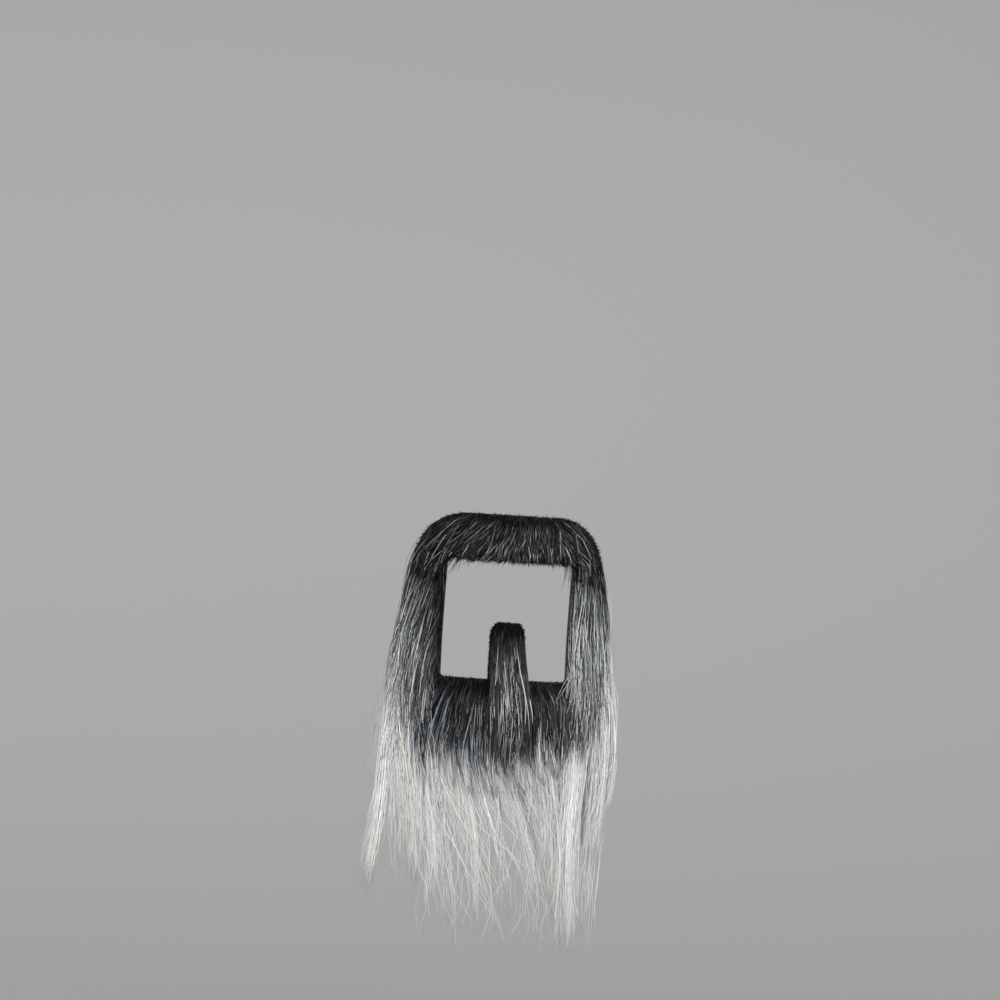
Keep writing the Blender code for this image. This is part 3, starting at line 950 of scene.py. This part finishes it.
def side_strays(side, plot):
    """Fine single hairs that curl out of the fur."""
    path, owner, x, z = single(STRAY_COUNT, plot, side_flow, 11.0, seed=77, shared=0.2)
    look = SIDE._replace(pull=0.0, width=0.12, wave=1.2, slack=3.0, splay=0.03, thickness=4.5)
    length = rng.uniform(16, 46, STRAY_COUNT)
    hair = lay(look, path, owner, x, z, length, None, beside_window)
    kind = 0.4 + 0.6 * rng.random(STRAY_COUNT)[:, None]
    tone = side_tone(side, hair, kind, 0.5, owner)
    return tubes(look, hair, tone)


def side_fur(side):
    def beside(low, high, near):
        return lambda x, z: (z < high) & (z > low) & (x * side.sign > near)

    left, right = sorted((side.sign * SIDE_NEAR, side.sign * SIDE_FAR))
    plot = Plot(strip, left, right, SIDE_BOTTOM, SIDE_TOP)
    return [
        side_strip(side, plot),
        side_locks(side),
        side_strays(side, plot._replace(bottom=-64, top=-28)),
        fuzz(outer, beside(-58, -6, 0), 260, 1.4, 0.2),
        fuzz(inner, beside(-52, -7, 21), 560, 1.1, side.edge_tone),
    ]


make_fur("side_fur_left", side_fur(LEFT), "grey_hair", "side_hair_left")
make_fur("side_fur_right", side_fur(RIGHT), "grey_hair", "side_hair_right")

# Chin: the dark undercoat, with silver hairs
CHIN = Look(
    rings=6, width=0.22, pull=0.45, splay=0.012, wave=0.3,
    lifts=CHIN_LIFT, thickness=3.2, rise=5.0, slack=1.0, deep=0.8
)


def bar_below(x, z):
    return on_cloth(x, z) & (np.abs(x) < 25.5) & (z < WINDOW_BOTTOM - 0.1)


CHIN_SOWING = Sowing(
    plot=Plot(bar_below, -25.5, 25.5, -67, -51),
    wisps=760, fibres=4900, flow=chin_flow, swing=4.5, seed=8, heads=120, pull=0.35
)
CHIN_LENGTH, CHIN_LOWEST, CHIN_HIGHEST = 45.0, -94.0, -71.0


def chin():
    path, owner, x, z = sown(CHIN_SOWING)
    further = rng.random(len(path)) < 0.26
    reach = np.where(further, rng.uniform(1, 14, len(path)), rng.normal(-0.5, 2.6, len(path)))
    reach = (reach[owner] + rng.normal(0, 1.5, len(x))) * (1.0 - 0.7 * ease(19.0, 24.0, x))
    low_end = np.clip(by_place(PALE_LINE, x) - reach, CHIN_LOWEST, CHIN_HIGHEST)
    hair = lay(CHIN, path, owner, x, z, CHIN_LENGTH, low_end)
    kind = kinds(owner, len(path))
    dark, slate, silver = (lightness(s, hair.run) for s in CHIN_SHADES)
    level = np.where(kind > 0.83, silver, np.where(kind > 0.47, slate, dark))
    level = level + 0.05 * field(hair.x, 0 * hair.z, 8, 4)
    pale = paleness(hair.x, hair.z, 4.0, owner, 3.4, 1.5 * further[owner])
    tone = blend(level, 0.62 + 0.32 * rng.random(len(x))[:, None], pale)
    top = [p for p in inner if p[1] < WINDOW_BOTTOM + 0.6]
    return [
        tubes(CHIN, hair, tone),
        fuzz(top, None, 500, 1.1, 0.12),
    ]


make_fur("chin_fur", chin(), "dark_hair", "chin_hair")

# Fringe: white guard hair in separate locks
FRINGE = Look(
    rings=10, width=0.165, pull=0.94, splay=0.008, wave=0.5,
    lifts=FRINGE_LIFT, thickness=3.4, rise=6.0, slack=2.0, deep=0.3
)
FRINGE_HEIGHTS = (-60.0, -80.0, -100.0, -120.0, -140.0)
FRINGE_LOCKS = (
    Lock((-30.5, -26.8, -22.5, -21.1, -23.6), -143, 100, 1.0, 0.7),
    Lock((-25.5, -22.3, -18.5, -15.8, -14.2), -149, 70, 1.2, 0.2),
    Lock((-21.0, -18.0, -13.0, -7.6, -4.8), -130, 24, 1.6, 0.0),
    Lock((-16.6, -13.5, -9.0, -5.7, -3.2), -151, 60, 0.9, 0.6),
    Lock((-11.9, -8.2, -1.7, 4.0, 8.6), -150, 40, 1.5, 0.2),
    Lock((-5.5, -3.0, 0.9, 1.8, 3.5), -140, 40, 1.2, 0.2),
    Lock((-2.1, 1.6, 8.7, 14.1, 15.5), -141, 60, 1.1, 0.5),
    Lock((2.0, 5.6, 13.1, 19.8, 25.5), -144, 50, 1.7, 0.2),
    Lock((8.8, 12.0, 15.8, 16.4, 16.4), -132, 40, 1.6, 0.2),
    Lock((15.1, 18.5, 23.0, 25.6, 26.6), -156, 100, 1.6, 0.4),
    Lock((31.0, 33.0, 33.3, 34.6, 35.8), -138, 70, 1.8, 0.5),
)
# The brightest locks, which lie over the others
CREAM_LOCKS = (
    Lock((24.4, 25.2, 24.6, 26.0, 29.2), -156, 120, 1.4, 1.0),
    Lock((26.4, 27.4, 27.4, 28.6, 32.0), -150, 130, 1.5, 0.8),
)


def fringe_line(x, z):
    return on_cloth(x, z) & (z < -58.8)


FRINGE_PLOT = Plot(fringe_line, -34, 34, -67.5, -58.8)
FILLER_SOWING = Sowing(
    plot=FRINGE_PLOT,
    wisps=150, fibres=170, flow=chin_flow, swing=5.0, seed=21, heads=50, pull=0.85, kept=0.2
)
STRAND_HAIRS, CROSSING_HAIRS = 10, 240
LONG_HAIR, FREE_HAIR = 104.0, 100.0


def fringe_tone(hair, cream, kind, owner):
    pale = paleness(hair.x, hair.z - 1.5, 4.0, owner, 2.6)
    end = 0.56 + 0.33 * ease(0.05, 0.75, kind) + 0.03 * cream
    return blend(0.22, end, pale)


def fringe_locks(rows, look):
    path, lock, tip = stranded(rows, FRINGE_HEIGHTS, FRINGE_LIFT, STRAND_HAIRS)
    owner = np.repeat(np.arange(len(path)), STRAND_HAIRS)
    x = path[owner, 0, 0] + rng.normal(0, 0.8, len(owner))
    z = rng.uniform(-67.0, -59.2, len(owner))
    kept = fringe_line(x, z)
    owner, x, z = owner[kept], x[kept], z[kept]
    low_end = tip[owner] + 50.0 * rng.beta(1.0, 1.9, len(owner))
    hair = lay(look, path, owner, x, z, LONG_HAIR, low_end)
    cream = np.array([r.cream for r in rows])[lock][owner][:, None]
    kind = kinds(owner, len(path), 0.45)
    kind = kind + (1 - kind) * 0.6 * cream
    tone = fringe_tone(hair, cream, kind, owner)
    return tubes(look, hair, tone)


def fringe_fillers():
    """Thinner hair between the locks."""
    path, owner, x, z = sown(FILLER_SOWING)
    low_end = -134.0 + 50.0 * rng.beta(1.2, 1.2, len(path))[owner] + rng.normal(0, 4, len(x))
    look = FRINGE._replace(width=0.15, pull=0.85, thickness=1.6)
    hair = lay(look, path, owner, x, z, FREE_HAIR, low_end)
    tone = fringe_tone(hair, 0.0, 0.5 * kinds(owner, len(path)), owner)
    return tubes(look, hair, tone)


def fringe_crossing():
    """Single hairs that cross the rest."""
    plot = FRINGE_PLOT._replace(left=-33, right=33)
    path, owner, x, z = single(CROSSING_HAIRS, plot, chin_flow, 10.0, seed=31, shared=0.1)
    low_end = rng.uniform(-152, -100, CROSSING_HAIRS)
    look = FRINGE._replace(
        rings=16, width=0.13, pull=0.0, wave=0.9, splay=0.07, thickness=5.0, slack=2.0
    )
    hair = lay(look, path, owner, x, z, FREE_HAIR, low_end)
    kind = 0.5 + 0.5 * rng.random(CROSSING_HAIRS)[:, None]
    tone = fringe_tone(hair, 0.5, kind, owner)
    return tubes(look, hair, tone)


def fringe():
    over = FRINGE._replace(lifts=CHIN_LIFT, thickness=4.6, rise=9.0)
    return [
        fringe_locks(FRINGE_LOCKS, FRINGE),
        fringe_locks(CREAM_LOCKS, over),
        fringe_fillers(),
        fringe_crossing(),
    ]


make_fur("fringe_fur", fringe(), "white_hair", "chin_fringe")

# Soul patch: black at the top, with a silver band further down
TAB = Look(
    rings=7, width=0.21, pull=0.4, splay=0.006, wave=0.25,
    lifts=TAB_LIFT, thickness=2.4, rise=5.0, slack=0.4, deep=0.9
)


def tab_area(x, z):
    return np.abs(x) < tab_half(z - WINDOW_BOTTOM)


TAB_SOWING = Sowing(
    plot=Plot(tab_area, -6.5, 6.5, -51, -30.7),
    wisps=260, fibres=1500, flow=tab_flow, swing=2.8, seed=13
)
TAB_DRIFT = 0.07  # how far its fur leans to +X, a share of the height
TAB_SPREAD, SPREAD_HEIGHT = 5.0, 26.0  # how much its fur spreads under the window
BAND_AT, BAND_WIDTH = -0.3, 2.4  # the silver band's middle and its spread


def beside_tab(x, z, slack):
    """Holds the tab's fur to the tab, and lets it spread under the window."""
    down = ease(WINDOW_BOTTOM - SPREAD_HEIGHT, WINDOW_BOTTOM, z)
    middle = TAB_DRIFT * (TAB_TOP - z)
    half = TAB_HALF_WIDTH - 0.4 + slack + TAB_SPREAD * (1 - down)
    return np.clip(x, middle - half, middle + half)


def tab():
    path, owner, x, z = sown(TAB_SOWING)
    length = rng.uniform(14, 46, len(path))[owner] * rng.uniform(0.8, 1.05, len(x))
    low_end = -76.0 - rng.exponential(3.5, len(x))
    hair = lay(TAB, path, owner, x, z, length, low_end, beside_tab)
    kind = kinds(owner, len(path), 0.85)
    band = np.exp(-(((hair.x[:, :1] - BAND_AT) / BAND_WIDTH) ** 2))
    lower = ease(36.0, 50.0, -hair.z)
    dark, slate, silver = (
        lightness(s, hair.run) + gain * lower for s, gain in zip(TAB_SHADES, TAB_LOWER)
    )
    silvers = 0.05 + 0.06 * lower + band * (0.24 + 0.18 * ease(50.0, 62.0, -hair.z))
    streak = ease(-0.05, 0.05, kind - 1 + silvers)
    level = blend(np.where(kind > 0.45, slate, dark), silver, streak)
    pale = paleness(hair.x, hair.z, 3.5, owner)
    tone = blend(level, 0.84, pale) * (0.3 + 0.7 * ease(32.0, 43.0, -hair.z))
    return [
        tubes(TAB, hair, tone),
        fuzz(tab_edge, None, 700, 0.9, 0.10),
        fuzz(tab_edge, lambda x, z: z > -34, 260, 1.2, 0.10),
    ]


make_fur("soul_patch_fur", tab(), "dark_hair", "soul_patch")

# Studio

FLOOR_REACH, BEND, WALL_TOP = 1.6, 0.9, 1.25
FLOOR_AT = -0.36


def studio():
    """A pale floor that curves up into a wall all round, in metres."""
    rows = [(FLOOR_REACH, 0.0)]
    for turn in np.linspace(0.1, 1.57, 14):
        rows.append((FLOOR_REACH + BEND * math.sin(turn), BEND - BEND * math.cos(turn)))
    rows.append((FLOOR_REACH + BEND, WALL_TOP))
    sides = 96
    points, faces = [(0.0, 0.0, 0.0)], []
    for radius, height in rows:
        for k in range(sides):
            turn = 2 * math.pi * k / sides
            points.append((radius * math.cos(turn), radius * math.sin(turn), height))
    for k in range(sides):
        faces.append((0, 1 + k, 1 + (k + 1) % sides))
    for j in range(len(rows) - 1):
        for k in range(sides):
            a, b = 1 + j * sides + k, 1 + j * sides + (k + 1) % sides
            faces.append((a, a + sides, b + sides, b))
    mesh = bpy.data.meshes.new("studio")
    mesh.from_pydata(points, [], faces)
    mesh.shade_smooth()
    obj = add_object("studio", mesh)
    obj.location.z = FLOOR_AT
    made, tree, shader = new_material("pale_paper")
    fill(shader, Base_Color=(0.085, 0.084, 0.082, 1.0), Roughness=0.9)
    fill(shader, Emission_Color=(1.0, 0.99, 0.975, 1.0), Emission_Strength=0.175)
    mesh.materials.append(made)


def soft_sun(name, towards, strength, angle):
    """A far, wide light that comes from this direction."""
    data = bpy.data.lights.new(name, "SUN")
    data.energy, data.angle = strength, math.radians(angle)
    obj = add_object(name, data)
    obj.location = towards
    obj.rotation_euler = (-Vector(towards)).to_track_quat("-Z", "Y").to_euler()


def soft_room():
    """Even light from all round."""
    world = bpy.data.worlds.new("soft_room")
    world.use_nodes = True
    fill(world.node_tree.nodes["Background"], Color=(0.95, 0.97, 1.0, 1.0), Strength=0.60)
    bpy.context.scene.world = world


# The photograph's view: level, from a little to one side, and tilted
AZIMUTH, TILT = math.radians(-7.0), math.radians(3.5)
PICTURE, PIXELS_PER_MM, ORIGIN_AT = 1000, 2.79, (514.0, 538.0)  # in pixels
DISTANCE, SENSOR = 1.5, 36.0  # in metres, and in millimetres


def add_camera():
    data = bpy.data.cameras.new("camera")
    data.sensor_width = SENSOR
    data.lens = SENSOR * DISTANCE / (PICTURE / PIXELS_PER_MM * MM)
    data.clip_start, data.clip_end = 0.05, 20.0
    back = Vector((math.sin(AZIMUTH), -math.cos(AZIMUTH), 0.0))
    level = Vector((math.cos(AZIMUTH), math.sin(AZIMUTH), 0.0))
    upright = back.cross(level)
    right = level * math.cos(TILT) + upright * math.sin(TILT)
    up = upright * math.cos(TILT) - level * math.sin(TILT)
    off_x, off_y = PICTURE / 2 - ORIGIN_AT[0], ORIGIN_AT[1] - PICTURE / 2
    target = (right * (off_x / PIXELS_PER_MM) + up * (off_y / PIXELS_PER_MM)) * MM
    turned = Matrix((right, up, back)).transposed().to_4x4()
    turned.translation = target + back * DISTANCE
    camera = add_object("camera", data)
    camera.matrix_world = turned
    bpy.context.scene.camera = camera


studio()
soft_sun("key", (-0.35, -1.0, 0.55), 4.8, 12.0)
soft_sun("fill", (0.9, -0.7, 0.60), 2.2, 25.0)
soft_sun("rim", (0.3, 1.0, 0.85), 2.6, 20.0)
soft_room()
bpy.context.scene.view_settings.view_transform = "Standard"
add_camera()
